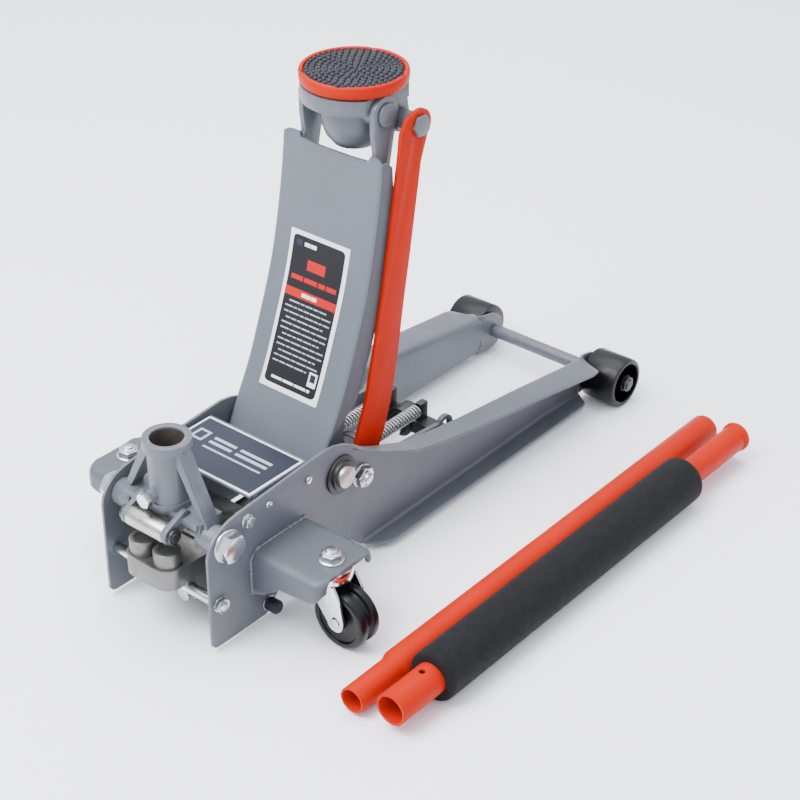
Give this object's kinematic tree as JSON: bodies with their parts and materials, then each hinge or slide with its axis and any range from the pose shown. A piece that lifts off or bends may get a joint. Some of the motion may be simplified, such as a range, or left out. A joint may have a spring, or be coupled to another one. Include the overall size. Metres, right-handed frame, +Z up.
{
  "type": "hydraulic floor jack",
  "caption": "Low wheeled floor jack with a pivoting lifting arm, self-leveling round saddle, pump handle socket, casters and a two-piece handle laid beside it.",
  "frame": {"origin": "middle of the whole set's footprint, on the floor", "axes": "+X forward to the front rollers, +Y left, +Z up"},
  "size_m": [0.6854, 0.4714, 0.5],
  "materials": {
    "frame_paint": "semi-gloss grey enamel",
    "arm_paint": "semi-gloss light grey enamel",
    "orange_paint": "gloss orange-red enamel",
    "zinc": "bright zinc plate",
    "steel": "turned steel",
    "cast_zinc": "cast and lightly oiled",
    "black_steel": "satin black enamel",
    "chrome_plate": "polished plate",
    "spring_steel": "zinc-plated wire",
    "rubber": "matt moulded rubber",
    "foam": "soft closed-cell foam",
    "caster_black": "moulded black wheel",
    "label": null,
    "plug_black": "moulded plug"
  },
  "bodies": {
    "frame": {"side_plate_left": "frame_paint", "side_plate_right": "frame_paint", "caster_wing_left": "frame_paint", "caster_wing_right": "frame_paint", "caster_stems": "zinc", "front_axle": "steel", "axle_clips": "black_steel", "front_spacer_tube": "frame_paint", "rear_tie_rod": "zinc", "frame_fasteners": "zinc", "web_stops": "rubber", "top_cover_plate": "frame_paint", "name_plate": "label", "main_shaft": "steel", "shaft_spacers": "black_steel", "link_pivot_bolt": "zinc", "yoke_pivot_bolts": "zinc", "pump_block": "cast_zinc", "reservoir_tube": "black_steel", "cylinder_gland": "black_steel", "filler_plug": "plug_black", "plunger_spring_left": "spring_steel", "plunger_spring_right": "spring_steel", "return_spring_left": "spring_steel", "return_spring_right": "spring_steel"},
    "valve": {"release_valve": "steel"},
    "arm": {"arm_side_plate_left": "arm_paint", "arm_side_plate_right": "arm_paint", "arm_cover": "arm_paint", "arm_label": "label", "arm_cross_tubes": "arm_paint", "crank_pins": "steel"},
    "bracket": {"saddle_bracket": "frame_paint", "saddle_pivot_pins": "steel", "link_top_bolt": "zinc"},
    "saddle": {"saddle_ring": "orange_paint", "saddle_pad": "rubber"},
    "link": {"leveling_link": "orange_paint"},
    "yoke": {"handle_socket": "frame_paint", "roller_pin": "black_steel", "socket_set_bolt": "zinc"},
    "roller": {"yoke_roller": "steel"},
    "plunger_left": {"pump_plunger_left": "cast_zinc"},
    "plunger_right": {"pump_plunger_right": "cast_zinc"},
    "ram": {"ram_rod": "chrome_plate", "crosshead": "black_steel"},
    "bar_left": {"connecting_bar_left": "frame_paint"},
    "bar_right": {"connecting_bar_right": "frame_paint"},
    "fork_left": {"caster_fork_left": "chrome_plate", "caster_axle_left": "zinc"},
    "fork_right": {"caster_fork_right": "chrome_plate", "caster_axle_right": "zinc"},
    "caster_left": {"caster_wheel_left": "caster_black"},
    "caster_right": {"caster_wheel_right": "caster_black"},
    "front_left": {"front_wheel_left": "black_steel"},
    "front_right": {"front_wheel_right": "black_steel"},
    "handle_upper": {"handle_upper_tube": "orange_paint", "handle_foam_grip": "foam"},
    "handle_lower": {"handle_lower_tube": "orange_paint"}
  },
  "joints": [
    {"name": "arm_lift", "type": "hinge", "parent": "frame", "child": "arm", "pos_m": [-0.1357, 0.0717, 0.114], "axis": [0, 1, 0], "range_deg": [0, 82]},
    {"name": "saddle_level", "type": "hinge", "parent": "arm", "child": "bracket", "pos_m": [-0.03275, 0.0717, 0.46606], "axis": [0, 1, 0], "range_deg": [-82.5, 0.5]},
    {"name": "saddle_swivel", "type": "hinge", "parent": "bracket", "child": "saddle", "pos_m": [-0.0227, 0.0717, 0.48], "axis": [0, 0, 1], "continuous": true},
    {"name": "link_swing", "type": "hinge", "parent": "frame", "child": "link", "pos_m": [-0.1047, 0.0077, 0.097], "axis": [0, 1, 0], "range_deg": [-0.5, 82.5]},
    {"name": "ram_stroke", "type": "slide", "parent": "frame", "child": "ram", "axis": [1, 0, 0], "range_m": [-0.066, 0.0004], "deforming": ["return_spring_left", "return_spring_right"]},
    {"name": "bar_swing_left", "type": "hinge", "parent": "arm", "child": "bar_left", "pos_m": [-0.1029, 0.1247, 0.07626], "axis": [0, 1, 0], "range_deg": [-82.5, 0.5]},
    {"name": "bar_swing_right", "type": "hinge", "parent": "arm", "child": "bar_right", "pos_m": [-0.1029, 0.0187, 0.07626], "axis": [0, 1, 0], "range_deg": [-82.5, 0.5]},
    {"name": "handle_pump", "type": "hinge", "parent": "frame", "child": "yoke", "pos_m": [-0.3014, 0.0717, 0.118], "axis": [0, 1, 0], "range_deg": [-60, 0]},
    {"name": "roller_spin", "type": "hinge", "parent": "yoke", "child": "roller", "pos_m": [-0.3299, 0.0717, 0.1244], "axis": [0, 1, 0], "continuous": true},
    {"name": "plunger_left_stroke", "type": "slide", "parent": "frame", "child": "plunger_left", "axis": [0, 0, 1], "range_m": [-0.0159, 0.0004], "deforming": ["plunger_spring_left"]},
    {"name": "plunger_right_stroke", "type": "slide", "parent": "frame", "child": "plunger_right", "axis": [0, 0, 1], "range_m": [-0.0159, 0.0004], "deforming": ["plunger_spring_right"]},
    {"name": "release_turn", "type": "hinge", "parent": "frame", "child": "valve", "pos_m": [-0.2967, 0.0497, 0.04], "axis": [1, 0, 0], "range_deg": [0, 180]},
    {"name": "caster_swivel_left", "type": "hinge", "parent": "frame", "child": "fork_left", "pos_m": [-0.2267, 0.2137, 0.08], "axis": [0, 0, 1], "continuous": true},
    {"name": "caster_swivel_right", "type": "hinge", "parent": "frame", "child": "fork_right", "pos_m": [-0.2267, -0.0703, 0.08], "axis": [0, 0, 1], "continuous": true},
    {"name": "caster_roll_left", "type": "hinge", "parent": "fork_left", "child": "caster_left", "pos_m": [-0.2267, 0.1947, 0.032], "axis": [1, 0, 0], "continuous": true},
    {"name": "caster_roll_right", "type": "hinge", "parent": "fork_right", "child": "caster_right", "pos_m": [-0.2267, -0.0893, 0.032], "axis": [1, 0, 0], "continuous": true},
    {"name": "front_roll_left", "type": "hinge", "parent": "frame", "child": "front_left", "pos_m": [0.3133, 0.1717, 0.0294], "axis": [0, 1, 0], "continuous": true},
    {"name": "front_roll_right", "type": "hinge", "parent": "frame", "child": "front_right", "pos_m": [0.3133, -0.0283, 0.0294], "axis": [0, 1, 0], "continuous": true},
    {"name": "handle_upper_lift", "type": "slide", "parent": "frame", "child": "handle_upper", "axis": [0, 0, 1], "range_m": [0, 0.3]},
    {"name": "handle_lower_lift", "type": "slide", "parent": "frame", "child": "handle_lower", "axis": [0, 0, 1], "range_m": [0, 0.3]}
  ],
  "couplings": [
    {"joint": "saddle_level", "follows": "arm_lift", "ratio": -1},
    {"joint": "link_swing", "follows": "arm_lift", "ratio": 1},
    {"joint": "ram_stroke", "follows": "arm_lift", "m_per_rad": -0.045837},
    {"joint": "bar_swing_left", "follows": "arm_lift", "ratio": -1},
    {"joint": "bar_swing_right", "follows": "arm_lift", "ratio": -1},
    {"joint": "plunger_left_stroke", "follows": "handle_pump", "m_per_rad": 0.014801},
    {"joint": "plunger_right_stroke", "follows": "handle_pump", "m_per_rad": 0.014801}
  ]
}
